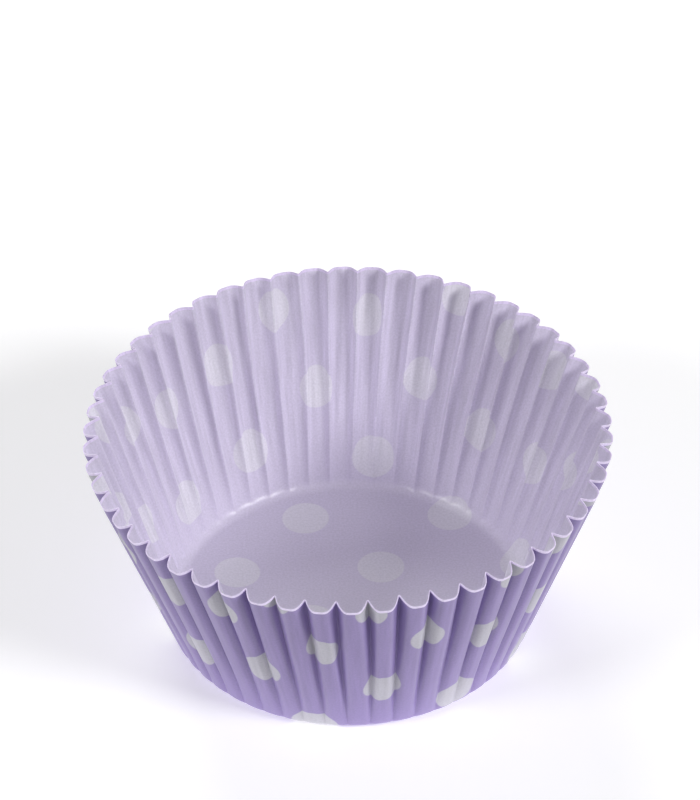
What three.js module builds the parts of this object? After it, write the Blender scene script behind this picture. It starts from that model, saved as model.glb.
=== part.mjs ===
// A fluted paper baking cup. One thin sheet, cut as a round blank and pressed to shape: a flat floor, a
// small rounded corner and a flaring wall. The wall's spare paper stands in rounded ribs with narrow
// valleys between them, from nothing at the floor's edge to full depth at the cut rim.
// Millimetres, +Z up. The origin is the middle of the floor's underside, and -Y is the front.

import * as THREE from "three";

// The cup's outer form, measured over the ribs
const floorDiameter = 45.2;
const rimDiameter = 69.2;
const height = 30.1;
const cornerRadius = 2.0;

// The paper and its pleats
const paperThickness = 0.1;
const pleatCount = 54;
const ribBack = 0.4; // the share of each pleat that is the rib's flat back, between its two flanks
const shoulder = 1.8; // 1 gives a sharp edge between back and flank, and more gives a rounder one
const roundedShare = 0.76; // how deep rounded pleats are beside zigzag ones that use up as much paper

// The pleats are pressed a little unevenly. In degrees around the cup, gentle waves shift them sideways,
// and they lean the same way from the floor to the rim.
const pleatOffset = -0.82;
const pleatLean = -1.85;
const unevenness = [
  { wavesAround: 2, shift: 1.27, phase: -8 },
  { wavesAround: 7, shift: 0.17, phase: -103 },
];

// Facets of the rounded forms
const flankSteps = 3;
const cornerSteps = 3;
const wallSteps = 3;

const paperColour = "#9c8dbb";
const paperRoughness = 0.6;

// The outline over the ribs is a flat floor, then the corner's arc, then a straight wall that leaves the
// arc at a tangent and ends at the rim. Its stretches are measured along the paper from the blank's centre.
const floorRadius = floorDiameter / 2;
const rimRadius = rimDiameter / 2;
const arcCentreToRim = Math.hypot(rimRadius - floorRadius, height - cornerRadius);
const wallLength = Math.sqrt(arcCentreToRim ** 2 - cornerRadius ** 2);
const wallAngle =
  Math.atan2(height - cornerRadius, rimRadius - floorRadius) + Math.asin(cornerRadius / arcCentreToRim);
const cornerEnd = floorRadius + cornerRadius * wallAngle;
const blankRadius = cornerEnd + wallLength;

// The outline at a reach along the paper: its radius, its height and its slope above the floor's plane.
function outlineAt(reach) {
  if (reach <= floorRadius) return { radius: reach, height: 0, slope: 0 };
  const slope = Math.min((reach - floorRadius) / cornerRadius, wallAngle);
  const wall = Math.max(reach - cornerEnd, 0);
  return {
    radius: floorRadius + cornerRadius * Math.sin(slope) + wall * Math.cos(slope),
    height: cornerRadius * (1 - Math.cos(slope)) + wall * Math.sin(slope),
    slope,
  };
}

// The angle from the front, towards +X, of a turn counted in pleats. Valleys are at whole turns.
function pleatAngle(reach, turn) {
  const climbed = Math.max(reach - cornerEnd, 0) / wallLength;
  const even = (2 * Math.PI * turn) / pleatCount;
  const shift = unevenness.reduce(
    (sum, wave) => sum + wave.shift * Math.sin(wave.wavesAround * even + THREE.MathUtils.degToRad(wave.phase)),
    pleatOffset + pleatLean * climbed,
  );
  return even + THREE.MathUtils.degToRad(shift);
}

// How deep the valleys are. Pressing doesn't stretch the paper, so each pleat uses up an equal slice of the
// blank, which is wider than the pitch from rib to rib. In a zigzag pleat the slice would be two straight
// flanks, each standing on half a pitch.
function valleyDepth(reach) {
  const slice = (2 * Math.PI * reach) / pleatCount;
  const pitch = (2 * Math.PI * outlineAt(reach).radius) / pleatCount;
  return (roundedShare * Math.sqrt(slice ** 2 - pitch ** 2)) / 2;
}

// How far the paper lies inside the outline: nothing on a rib's back, and the full depth in a valley.
function depthAt(reach, turn) {
  const fromRib = Math.abs(2 * (turn - Math.floor(turn)) - 1);
  const flank = Math.max(fromRib - ribBack, 0) / (1 - ribBack);
  return valleyDepth(reach) * flank ** shoulder;
}

// A point on the paper's outer face. A valley is pressed in square to the wall, so it also rises a little.
function outerPoint(reach, turn) {
  const outline = outlineAt(reach);
  const depth = depthAt(reach, turn);
  const radius = outline.radius - depth * Math.sin(outline.slope);
  const angle = pleatAngle(reach, turn);
  return new THREE.Vector3(
    radius * Math.sin(angle),
    -radius * Math.cos(angle),
    outline.height + depth * Math.cos(outline.slope),
  );
}

// The outward direction of the strip of paper between two turns.
function facing(reach, turnBefore, turnAfter) {
  const shortStep = cornerRadius / 1000;
  const turn = (turnBefore + turnAfter) / 2;
  const around = outerPoint(reach, turnAfter).sub(outerPoint(reach, turnBefore));
  const along = outerPoint(reach + shortStep, turn).sub(outerPoint(reach - shortStep, turn));
  return around.cross(along).normalize();
}

// A point on the inner face, mitred between the facets on its two sides so that each keeps the thickness.
function innerPoint(reach, turns, column) {
  const turn = turns[column];
  const turnBefore = column > 0 ? turns[column - 1] : turns[turns.length - 1] - pleatCount;
  const turnAfter = column < turns.length - 1 ? turns[column + 1] : turns[0] + pleatCount;
  const before = facing(reach, turnBefore, turn);
  const after = facing(reach, turn, turnAfter);
  const mitre = before.clone().add(after).divideScalar(1 + before.dot(after));
  return outerPoint(reach, turn).addScaledVector(mitre, -paperThickness);
}

// Where the facets meet around the cup. Each pleat has a flank in equal steps, the back as one facet and
// the other flank, and starts in its valley.
function facetTurns() {
  const flank = (1 - ribBack) / 2;
  const turns = [];
  for (let pleat = 0; pleat < pleatCount; pleat++) {
    for (let step = 0; step <= flankSteps; step++) turns.push(pleat + (flank * step) / flankSteps);
    for (let step = 0; step < flankSteps; step++) turns.push(pleat + 1 - flank + (flank * step) / flankSteps);
  }
  return turns;
}

// Where the facets meet along the paper, from the floor's edge to the rim.
function facetReaches() {
  const reaches = [];
  for (let step = 0; step < cornerSteps; step++)
    reaches.push(floorRadius + ((cornerEnd - floorRadius) * step) / cornerSteps);
  for (let step = 0; step <= wallSteps; step++) reaches.push(cornerEnd + (wallLength * step) / wallSteps);
  return reaches;
}

// The closed sheet: rings of points up the outer face, over the rim's cut edge and down the inner face,
// with a point in the middle of the floor at each end.
function cupGeometry() {
  const turns = facetTurns();
  const reaches = facetReaches();
  const outerRings = reaches.map((reach) => turns.map((turn) => outerPoint(reach, turn)));
  const innerRings = reaches.map((reach) => turns.map((turn, column) => innerPoint(reach, turns, column)));
  const rings = [...outerRings, ...innerRings.reverse()];
  const underside = new THREE.Vector3(0, 0, 0);
  const inside = new THREE.Vector3(0, 0, paperThickness);
  const points = [underside, ...rings.flat(), inside];

  // A facet is twisted a little, so both faces of the paper are split along the same diagonal of it, and
  // stay one thickness apart. The inner face's rings run downward, so there it's the other pair of corners.
  const indices = [];
  const columns = turns.length;
  const last = points.length - 1;
  for (let column = 0; column < columns; column++) {
    const next = (column + 1) % columns;
    indices.push(0, 1 + next, 1 + column);
    for (let ring = 0; ring < rings.length - 1; ring++) {
      const near = 1 + ring * columns;
      const far = near + columns;
      if (ring < reaches.length) {
        indices.push(near + column, near + next, far + column);
        indices.push(near + next, far + next, far + column);
      } else {
        indices.push(near + column, near + next, far + next);
        indices.push(near + column, far + next, far + column);
      }
    }
    indices.push(last, last - columns + column, last - columns + next);
  }
  const geometry = new THREE.BufferGeometry().setFromPoints(points).setIndex(indices);
  geometry.computeVertexNormals();
  return geometry;
}

const paper = new THREE.MeshStandardMaterial({
  color: paperColour,
  roughness: paperRoughness,
  metalness: 0,
});
const bakingCup = new THREE.Mesh(cupGeometry(), paper);
bakingCup.name = "baking_cup";

const group = new THREE.Group();
group.add(bakingCup);

export default group;
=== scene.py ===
# A fluted paper baking cup, printed with white dots on lilac, standing on a white table.
# Metres, +Z up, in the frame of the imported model. -Y is the front.

import math

import bpy
import numpy as np
from mathutils import Matrix, Vector


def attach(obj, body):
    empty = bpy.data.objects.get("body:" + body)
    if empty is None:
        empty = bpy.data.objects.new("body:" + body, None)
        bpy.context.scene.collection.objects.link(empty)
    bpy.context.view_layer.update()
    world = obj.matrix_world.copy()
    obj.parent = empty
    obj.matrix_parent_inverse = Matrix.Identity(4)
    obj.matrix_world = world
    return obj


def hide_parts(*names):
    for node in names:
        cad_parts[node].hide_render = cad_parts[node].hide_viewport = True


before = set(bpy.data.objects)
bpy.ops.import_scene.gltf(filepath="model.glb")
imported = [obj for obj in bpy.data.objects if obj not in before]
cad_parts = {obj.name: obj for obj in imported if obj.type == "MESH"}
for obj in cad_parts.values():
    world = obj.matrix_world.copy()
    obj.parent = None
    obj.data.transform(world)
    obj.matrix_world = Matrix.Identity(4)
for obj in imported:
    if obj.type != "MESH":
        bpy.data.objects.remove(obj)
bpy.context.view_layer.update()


# The view
# The cup is seen from above its front, from 0.8 m away through a long lens. The lens and the aim
# put the cup at the place and size that it has in the photograph's frame of 700 by 800 pixels.
view_distance = 0.8
view_height_angle = math.radians(41.67)
view_target_height = 0.015
view_pitch = math.radians(40.528)
view_turn = math.radians(0.033)
view_roll = math.radians(-0.753)
focal_pixels = 6054.65
picture_width = 700
sensor_width = 36.0

look = Vector((
    math.sin(view_turn) * math.cos(view_pitch),
    math.cos(view_turn) * math.cos(view_pitch),
    -math.sin(view_pitch),
))
level_right = Vector((math.cos(view_turn), -math.sin(view_turn), 0))
level_up = level_right.cross(look)
right = level_right * math.cos(view_roll) + level_up * math.sin(view_roll)
up = right.cross(look)

lens = bpy.data.cameras.new("photograph_view")
lens.sensor_width = sensor_width
lens.sensor_fit = "HORIZONTAL"
lens.lens = focal_pixels * sensor_width / picture_width
lens.clip_start = 0.05
lens.clip_end = 10
camera = bpy.data.objects.new("photograph_view", lens)
camera.matrix_world = Matrix.Translation((
    0,
    -view_distance * math.cos(view_height_angle),
    view_target_height + view_distance * math.sin(view_height_angle),
)) @ Matrix((right, up, -look)).transposed().to_4x4()
bpy.context.scene.collection.objects.link(camera)
bpy.context.scene.camera = camera


# The cup's paper
# One sheet of greaseproof paper, pressed from a round blank between two fluted dies: a flat floor, a
# rounded corner and a flaring wall, whose spare paper stands in rounded ribs with narrow valleys.
floor_radius = 0.0226
corner_radius = 0.002
rim_radius = 0.0346
rim_height = 0.0301
paper_thickness = 0.0001
pleat_count = 54
rib_back = 0.2  # the flat share of a rib, from its middle towards its valleys
shoulder = 2.2  # 1 gives a sharp edge between back and flank, and more gives a rounder one
rounded_share = 0.76  # how deep rounded pleats are beside zigzag ones
fold_softness = 0.03  # 0 gives a knife-sharp valley

# The pleats' places around the cup: an offset, a lean from floor to rim and two gentle waves
pleat_offset = math.radians(-0.9)
pleat_lean = math.radians(-1.85)
wide_wave = {"around": 2, "shift": math.radians(1.27), "phase": math.radians(-8)}
short_wave = {"around": 7, "shift": math.radians(0.17), "phase": math.radians(-103)}

# The outline over the ribs: floor, corner arc, and a straight wall that leaves the arc at a tangent.
arc_centre_to_rim = math.hypot(rim_radius - floor_radius, rim_height - corner_radius)
wall_length = math.sqrt(arc_centre_to_rim**2 - corner_radius**2)
wall_angle = math.atan2(rim_height - corner_radius, rim_radius - floor_radius) + math.asin(
    corner_radius / arc_centre_to_rim
)
corner_end = floor_radius + corner_radius * wall_angle
blank_radius = corner_end + wall_length

# The dies press each valley a little differently, in depth, in width and sideways, and some sides of
# the cup are pressed deeper than others
depth_spread = 0.06
width_spread = 0.03
bend_spread = math.radians(0.3)
deeper_sides = 3
side_swell = 0.08
pressing = np.random.default_rng(4)
valley_depth = 1 + depth_spread * pressing.standard_normal(pleat_count)
valley_back = rib_back + width_spread * pressing.standard_normal(pleat_count)
valley_bend = bend_spread * pressing.standard_normal(pleat_count)


def wave_shift(wave, even):
    """How far a wave moves the pleats: its shift times the sine of its count around the cup times the
    even angle, plus its phase."""
    return wave["shift"] * np.sin(wave["around"] * even + wave["phase"])


def outer_face(reach, turn):
    """Points on the outer face for each reach along the paper and each turn in pleats, with valleys at
    whole turns. The paper isn't stretched, so a zigzag pleat would be half as deep as the root of its
    slice of the blank squared less its pitch squared, and rounded pleats have a share of that, which
    sets in over the corner. The point is the outline's, moved inward square to the paper by that depth
    times the share of the flank crossed from the rib's back, to a power, and the fold in the valley is
    a little soft. Its angle is the turn's even share of the circle, plus a lean that grows up the wall
    and two gentle waves around the cup."""
    slope = np.clip((reach - floor_radius) / corner_radius, 0, wall_angle)
    wall = np.maximum(reach - corner_end, 0)
    climbed = wall / wall_length
    flat = np.minimum(reach, floor_radius)
    radius = flat + corner_radius * np.sin(slope) + wall * np.cos(slope)
    height = corner_radius * (1 - np.cos(slope)) + wall * np.sin(slope)

    even = 2 * np.pi * turn / pleat_count
    valley = np.round(turn).astype(int) % pleat_count
    from_valley = 1 - np.abs(2 * (turn - np.floor(turn)) - 1)
    from_rib = 1 - np.hypot(from_valley, fold_softness * (1 - from_valley))
    pressed = np.clip((reach - floor_radius) / (corner_end - floor_radius), 0, 1)
    zigzag_depth = np.pi / pleat_count * np.sqrt(np.maximum(reach**2 - radius**2, 0)) * pressed
    swell = 1 + side_swell * np.sin(deeper_sides * even)
    back = valley_back[valley]
    flank = np.clip((from_rib - back) / (1 - back), 0, 1)
    depth = rounded_share * swell * valley_depth[valley] * zigzag_depth * flank**shoulder

    waves = wave_shift(wide_wave, even) + wave_shift(short_wave, even)
    bend = valley_bend[valley] * from_rib * np.sin(np.pi * np.minimum(climbed, 1))
    angle = even + pleat_offset + pleat_lean * climbed + waves + bend
    radius = radius - depth * np.sin(slope)
    return np.stack([
        radius * np.sin(angle),
        -radius * np.cos(angle),
        height + depth * np.cos(slope),
    ], axis=-1)


def outward(reach, turn):
    """Unit normals of the outer face, from the cross product of two small central differences."""
    turn_step = 0.01
    reach_step = 1e-5
    around = outer_face(reach, turn + turn_step) - outer_face(reach, turn - turn_step)
    along = outer_face(reach + reach_step, turn) - outer_face(reach - reach_step, turn)
    normal = np.cross(around, along)
    return normal / np.linalg.norm(normal, axis=-1, keepdims=True)


def flat_place(points, reach):
    """Where each point lay on the flat blank, in millimetres. A pleat holds an equal slice of the
    blank, and within it the angle grows with the length of paper passed. The distance from the
    blank's middle is the reach."""
    ring = np.concatenate([points, points[:, :1]], axis=1)
    passed = np.linalg.norm(np.diff(ring, axis=1), axis=2).reshape(len(points), pleat_count, -1)
    before = np.cumsum(passed, axis=2) - passed
    share = (before / passed.sum(axis=2, keepdims=True)).reshape(len(points), -1)
    pleat = np.repeat(np.arange(pleat_count), passed.shape[2])
    angle = 2 * np.pi * (pleat + share) / pleat_count
    return 1000 * np.stack([reach * np.sin(angle), -reach * np.cos(angle)], axis=-1)


# The grid of the outer face. Its columns lie closest together at the valleys.
steps_per_pleat = 18
corner_steps = 6
wall_steps = 24
within = (1 - np.cos(np.pi * np.arange(steps_per_pleat) / steps_per_pleat)) / 2
turns = (np.arange(pleat_count)[:, None] + within).ravel()
reaches = np.concatenate([
    np.linspace(floor_radius, corner_end, corner_steps, endpoint=False),
    np.linspace(corner_end, blank_radius, wall_steps + 1),
])
reach_grid, turn_grid = np.meshgrid(reaches, turns, indexing="ij")
outer_points = outer_face(reach_grid, turn_grid)
inner_points = outer_points - paper_thickness * outward(reach_grid, turn_grid)
blank_points = flat_place(outer_points, reach_grid)

# Rings up the outer face, over the rim's cut edge and down the inner face, closed by the floor's middle
rings = np.concatenate([outer_points, inner_points[::-1]])
ring_blank = np.concatenate([blank_points, blank_points[::-1]])
ring_side = np.concatenate([np.zeros(reach_grid.shape), np.ones(reach_grid.shape)])
middle_outside = np.array([[0, 0, 0]])
middle_inside = np.array([[0, 0, paper_thickness]])
vertices = np.concatenate([middle_outside, rings.reshape(-1, 3), middle_inside])
blank_and_side = np.concatenate([
    [[0, 0, 0]],
    np.concatenate([ring_blank, ring_side[..., None]], axis=-1).reshape(-1, 3),
    [[0, 0, 1]],
])

columns = len(turns)
column = np.arange(columns)
next_column = (column + 1) % columns
ring_start = 1 + columns * np.arange(len(rings) - 1)[:, None]
quads = np.stack([
    ring_start + column,
    ring_start + next_column,
    ring_start + columns + next_column,
    ring_start + columns + column,
], axis=-1).reshape(-1, 4)
last = len(vertices) - 1
fan_outside = np.stack([np.zeros(columns, int), 1 + next_column, 1 + column], axis=-1)
fan_inside = np.stack([
    np.full(columns, last),
    last - columns + column,
    last - columns + next_column,
], axis=-1)

cup_mesh = bpy.data.meshes.new("dotted_cup")
cup_mesh.from_pydata(vertices.tolist(), [], quads.tolist() + fan_outside.tolist() + fan_inside.tolist())
cup_mesh.shade_smooth()
cup_mesh.set_sharp_from_angle(angle=math.radians(50))
place = cup_mesh.attributes.new("blank", "FLOAT_VECTOR", "POINT")
place.data.foreach_set("vector", blank_and_side.ravel())
cup = bpy.data.objects.new("dotted_cup", cup_mesh)
bpy.context.scene.collection.objects.link(cup)


def colour(text):
    """A hex sRGB colour as the linear colour that a shader takes, opaque."""
    parts = [int(text[i : i + 2], 16) / 255 for i in (1, 3, 5)]
    return [p / 12.92 if p <= 0.04045 else ((p + 0.055) / 1.055) ** 2.4 for p in parts] + [1]


def add_node(material, kind, settings, links):
    """Adds a node of that kind, sets its properties and its inputs, and links its inputs."""
    node = material.node_tree.nodes.new(kind)
    for name, value in settings.items():
        if isinstance(name, str) and hasattr(node, name):
            setattr(node, name, value)
        else:
            node.inputs[name].default_value = value
    for name, socket in links.items():
        material.node_tree.links.new(socket, node.inputs[name])
    return node


# Greaseproof paper, calendered smooth and printed on its outer face only: satin on the ribs, with a
# faint cloud of fibres, and paler on the unprinted inner face, where the ink shows through a little.
lilac_ink = "#8B7BAE"
bare_dot = "#B2B0BA"
inside_paper = "#D6CFE3"
inside_dot = "#E1DEE8"
# Painted highlight: the cut edge's line is paler than the bare paper, for the light it catches from above
cut_edge_highlight = "#E6DAF6"

# Sizes of the print and the paper's grain, in millimetres on the flat blank
column_spacing = 19.12
row_spacing = 10.32
row_turn = math.radians(2.44)
one_dot = (3.99, 7.44)
dot_radius = 3.1
dot_softness = 0.12
edge_highlight_width = 0.42
fibre_clump = 0.31
streak_width = 0.9
streak_length = 9.0

paper = bpy.data.materials.new("printed_greaseproof_paper")
paper.use_nodes = True
paper.node_tree.nodes.clear()
blank = add_node(paper, "ShaderNodeAttribute", {"attribute_name": "blank"}, {})
split = add_node(paper, "ShaderNodeSeparateXYZ", {}, {0: blank.outputs["Vector"]})
flat = add_node(paper, "ShaderNodeCombineXYZ", {}, {0: split.outputs[0], 1: split.outputs[1]})

# Dots in staggered rows: two plain grids, the second moved by half a cell. Each gives the distance to
# its nearest dot in millimetres, and the nearer one counts.
centred = add_node(
    paper, "ShaderNodeVectorMath", {"operation": "SUBTRACT", 1: (*one_dot, 0)}, {0: flat.outputs[0]}
)
turned = add_node(
    paper,
    "ShaderNodeVectorRotate",
    {"rotation_type": "Z_AXIS", "Angle": -row_turn},
    {"Vector": centred.outputs[0]},
)
cell_size = (column_spacing, 2 * row_spacing, 0)
from_dots = []
for grid_shift in (0, 0.5):
    cells = add_node(
        paper,
        "ShaderNodeVectorMath",
        {
            "operation": "MULTIPLY_ADD",
            1: (1 / cell_size[0], 1 / cell_size[1], 0),
            2: (0.5 + grid_shift, 0.5 + grid_shift, 0),
        },
        {0: turned.outputs[0]},
    )
    in_cell = add_node(paper, "ShaderNodeVectorMath", {"operation": "FRACTION"}, {0: cells.outputs[0]})
    from_centre = add_node(
        paper,
        "ShaderNodeVectorMath",
        {"operation": "MULTIPLY_ADD", 1: cell_size, 2: (-cell_size[0] / 2, -cell_size[1] / 2, 0)},
        {0: in_cell.outputs[0]},
    )
    distance = add_node(paper, "ShaderNodeVectorMath", {"operation": "LENGTH"}, {0: from_centre.outputs[0]})
    from_dots.append(distance)
from_dot = add_node(
    paper,
    "ShaderNodeMath",
    {"operation": "MINIMUM"},
    {0: from_dots[0].outputs["Value"], 1: from_dots[1].outputs["Value"]},
)
dot = add_node(
    paper,
    "ShaderNodeMapRange",
    {
        "interpolation_type": "SMOOTHSTEP",
        "From Min": dot_radius + dot_softness,
        "From Max": dot_radius - dot_softness,
    },
    {"Value": from_dot.outputs[0]},
)

printed = add_node(
    paper,
    "ShaderNodeMix",
    {"data_type": "RGBA", 6: colour(lilac_ink), 7: colour(bare_dot)},
    {0: dot.outputs["Result"]},
)
unprinted = add_node(
    paper,
    "ShaderNodeMix",
    {"data_type": "RGBA", 6: colour(inside_paper), 7: colour(inside_dot)},
    {0: dot.outputs["Result"]},
)
side = add_node(
    paper,
    "ShaderNodeMix",
    {"data_type": "RGBA"},
    {0: split.outputs[2], 6: printed.outputs[2], 7: unprinted.outputs[2]},
)

# The cut edge, where the white core and the bruised ink make a pale line, with a painted highlight on top
# for the light that the edge catches from above. It is drawn wider than the real one so that it shows.
rim_reach = 1000 * blank_radius
from_middle = add_node(paper, "ShaderNodeVectorMath", {"operation": "LENGTH"}, {0: flat.outputs[0]})
edge_highlight_mask = add_node(
    paper,
    "ShaderNodeMapRange",
    {"From Min": rim_reach - edge_highlight_width, "From Max": rim_reach - 0.8 * edge_highlight_width},
    {"Value": from_middle.outputs["Value"]},
)
edge_and_highlight = add_node(
    paper,
    "ShaderNodeMix",
    {"data_type": "RGBA", 7: colour(cut_edge_highlight)},
    {0: edge_highlight_mask.outputs["Result"], 6: side.outputs[2]},
)

# Fibres: a fine grain, felt as bump and seen as a faint mottle. Real fibres are 0.03 mm thick, and the
# clumps that they form are drawn here, because single ones are too fine to show.
grain = add_node(
    paper,
    "ShaderNodeTexNoise",
    {"Scale": 1 / fibre_clump, "Detail": 4, "Roughness": 0.6},
    {"Vector": flat.outputs[0]},
)
mottle = add_node(
    paper,
    "ShaderNodeMapRange",
    {"From Min": 0.3, "From Max": 0.7, "To Min": 0.91, "To Max": 1.08},
    {"Value": grain.outputs[0]},
)
mottled = add_node(
    paper,
    "ShaderNodeMix",
    {"data_type": "RGBA", "blend_type": "MULTIPLY", 0: 1},
    {6: edge_and_highlight.outputs[2], 7: mottle.outputs["Result"]},
)

# Streaks up the wall, where the paper slid between the dies, lighter and darker at random, which are also a
# painted sheen that stands in for soft satin highlights along the ribs: a noise that is drawn out along the
# paper's reach and is fine around the cup
direction = add_node(paper, "ShaderNodeVectorMath", {"operation": "NORMALIZE"}, {0: flat.outputs[0]})
around = add_node(
    paper,
    "ShaderNodeVectorMath",
    {"operation": "SCALE", "Scale": rim_reach / streak_width},
    {0: direction.outputs[0]},
)
along = add_node(
    paper,
    "ShaderNodeMath",
    {"operation": "DIVIDE", 1: streak_length},
    {0: from_middle.outputs["Value"]},
)
along_only = add_node(paper, "ShaderNodeCombineXYZ", {}, {2: along.outputs[0]})
drawn_out = add_node(
    paper,
    "ShaderNodeVectorMath",
    {"operation": "ADD"},
    {0: around.outputs[0], 1: along_only.outputs[0]},
)
streaks = add_node(paper, "ShaderNodeTexNoise", {"Scale": 1, "Detail": 2}, {"Vector": drawn_out.outputs[0]})
streak_and_sheen_tone = add_node(
    paper,
    "ShaderNodeMapRange",
    {"From Min": 0.3, "From Max": 0.7, "To Min": 0.92, "To Max": 1.08},
    {"Value": streaks.outputs[0]},
)
on_wall = add_node(
    paper,
    "ShaderNodeMapRange",
    {"From Min": 1000 * corner_end, "From Max": 1000 * corner_end + streak_length},
    {"Value": from_middle.outputs["Value"]},
)
# The streaks and painted sheen multiply the colour on the wall
streaks_and_sheen = add_node(
    paper,
    "ShaderNodeMix",
    {"data_type": "RGBA", "blend_type": "MULTIPLY"},
    {0: on_wall.outputs["Result"], 6: mottled.outputs[2], 7: streak_and_sheen_tone.outputs["Result"]},
)

# Calendered paper has a satin gloss, a little duller on the clumps, which stand up by hundredths of a mm
sheen = add_node(
    paper,
    "ShaderNodeMapRange",
    {"From Min": 0.3, "From Max": 0.7, "To Min": 0.28, "To Max": 0.4},
    {"Value": grain.outputs[0]},
)
relief = add_node(
    paper,
    "ShaderNodeBump",
    {"Strength": 0.25, "Distance": 0.00003},
    {"Height": grain.outputs[0]},
)
satin = add_node(
    paper,
    "ShaderNodeBsdfPrincipled",
    {"IOR": 1.5, "Specular IOR Level": 0.5},
    {"Base Color": streaks_and_sheen.outputs[2], "Roughness": sheen.outputs["Result"], "Normal": relief.outputs[0]},
)
add_node(paper, "ShaderNodeOutputMaterial", {}, {"Surface": satin.outputs[0]})

cup_mesh.materials.append(paper)
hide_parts("baking_cup")
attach(cup, "root")


# The table and the light
# A white table and a white room. Three soft lamps light the cup, from both sides of the front and from
# behind, and the table glows around it, as a light table does. The camera sees table and room white.
table_half = 3.0
table_height = -0.0001  # a hair below the cup's underside, so that the two don't share a plane
table_mesh = bpy.data.meshes.new("table")
table_mesh.from_pydata(
    [
        (-table_half, -table_half, table_height),
        (table_half, -table_half, table_height),
        (table_half, table_half, table_height),
        (-table_half, table_half, table_height),
    ],
    [],
    [(0, 1, 2, 3)],
)
table = bpy.data.objects.new("table", table_mesh)
bpy.context.scene.collection.objects.link(table)

white_table = bpy.data.materials.new("white_table")
white_table.use_nodes = True
white_table.node_tree.nodes.clear()


def when_seen(material):
    """A value that is 1 where the camera sees the surface, also in a gloss or through something clear,
    and 0 where it only lights other things."""
    ray = add_node(material, "ShaderNodeLightPath", {}, {})
    straight_or_gloss = add_node(
        material,
        "ShaderNodeMath",
        {"operation": "MAXIMUM"},
        {0: ray.outputs["Is Camera Ray"], 1: ray.outputs["Is Glossy Ray"]},
    )
    any_sight = add_node(
        material,
        "ShaderNodeMath",
        {"operation": "MAXIMUM"},
        {0: straight_or_gloss.outputs[0], 1: ray.outputs["Is Transmission Ray"]},
    )
    return any_sight.outputs[0]


spot = add_node(white_table, "ShaderNodeTexCoord", {}, {})
from_cup = add_node(
    white_table,
    "ShaderNodeVectorMath",
    {"operation": "LENGTH"},
    {0: spot.outputs["Object"]},
)
glow_reach = 0.06
glow = add_node(
    white_table,
    "ShaderNodeMapRange",
    {"From Min": glow_reach, "From Max": 0.024, "To Min": 0.0, "To Max": 1.0},
    {"Value": from_cup.outputs["Value"]},
)
white_lift = 0.3
lift = add_node(
    white_table,
    "ShaderNodeMix",
    {"data_type": "FLOAT", 3: white_lift},
    {0: when_seen(white_table), 2: glow.outputs["Result"]},
)
matt = add_node(white_table, "ShaderNodeBsdfDiffuse", {"Color": colour("#EEEEEF")}, {})
lifted = add_node(white_table, "ShaderNodeEmission", {}, {"Strength": lift.outputs[0]})
both = add_node(white_table, "ShaderNodeAddShader", {}, {0: matt.outputs[0], 1: lifted.outputs[0]})
add_node(white_table, "ShaderNodeOutputMaterial", {}, {"Surface": both.outputs[0]})
table_mesh.materials.append(white_table)


def add_lamp(name, place, size, power):
    """A square area lamp that stands at its place and shines at the cup's middle."""
    light = bpy.data.lights.new(name, "AREA")
    light.size = size
    light.energy = power
    lamp = bpy.data.objects.new(name, light)
    lamp.location = place
    lamp.rotation_mode = "QUATERNION"
    to_cup = Vector((0, 0, view_target_height)) - Vector(place)
    lamp.rotation_quaternion = to_cup.to_track_quat("-Z", "Y")
    bpy.context.scene.collection.objects.link(lamp)


add_lamp("right_lamp", (1.2, -0.75, 1.0), 0.5, 20)
add_lamp("left_lamp", (-1.25, -0.75, 1.0), 0.5, 11.5)
add_lamp("back_lamp", (-0.4, 1.3, 1.1), 0.8, 12)

room = bpy.data.worlds.new("white_room")
bpy.context.scene.world = room
room.use_nodes = True
room.node_tree.nodes.clear()
room_light = 0.17
bright = add_node(
    room,
    "ShaderNodeMapRange",
    {"To Min": room_light, "To Max": 1.0},
    {"Value": when_seen(room)},
)
air = add_node(room, "ShaderNodeBackground", {}, {"Strength": bright.outputs["Result"]})
add_node(room, "ShaderNodeOutputWorld", {}, {"Surface": air.outputs[0]})

bpy.context.scene.view_settings.view_transform = "Standard"
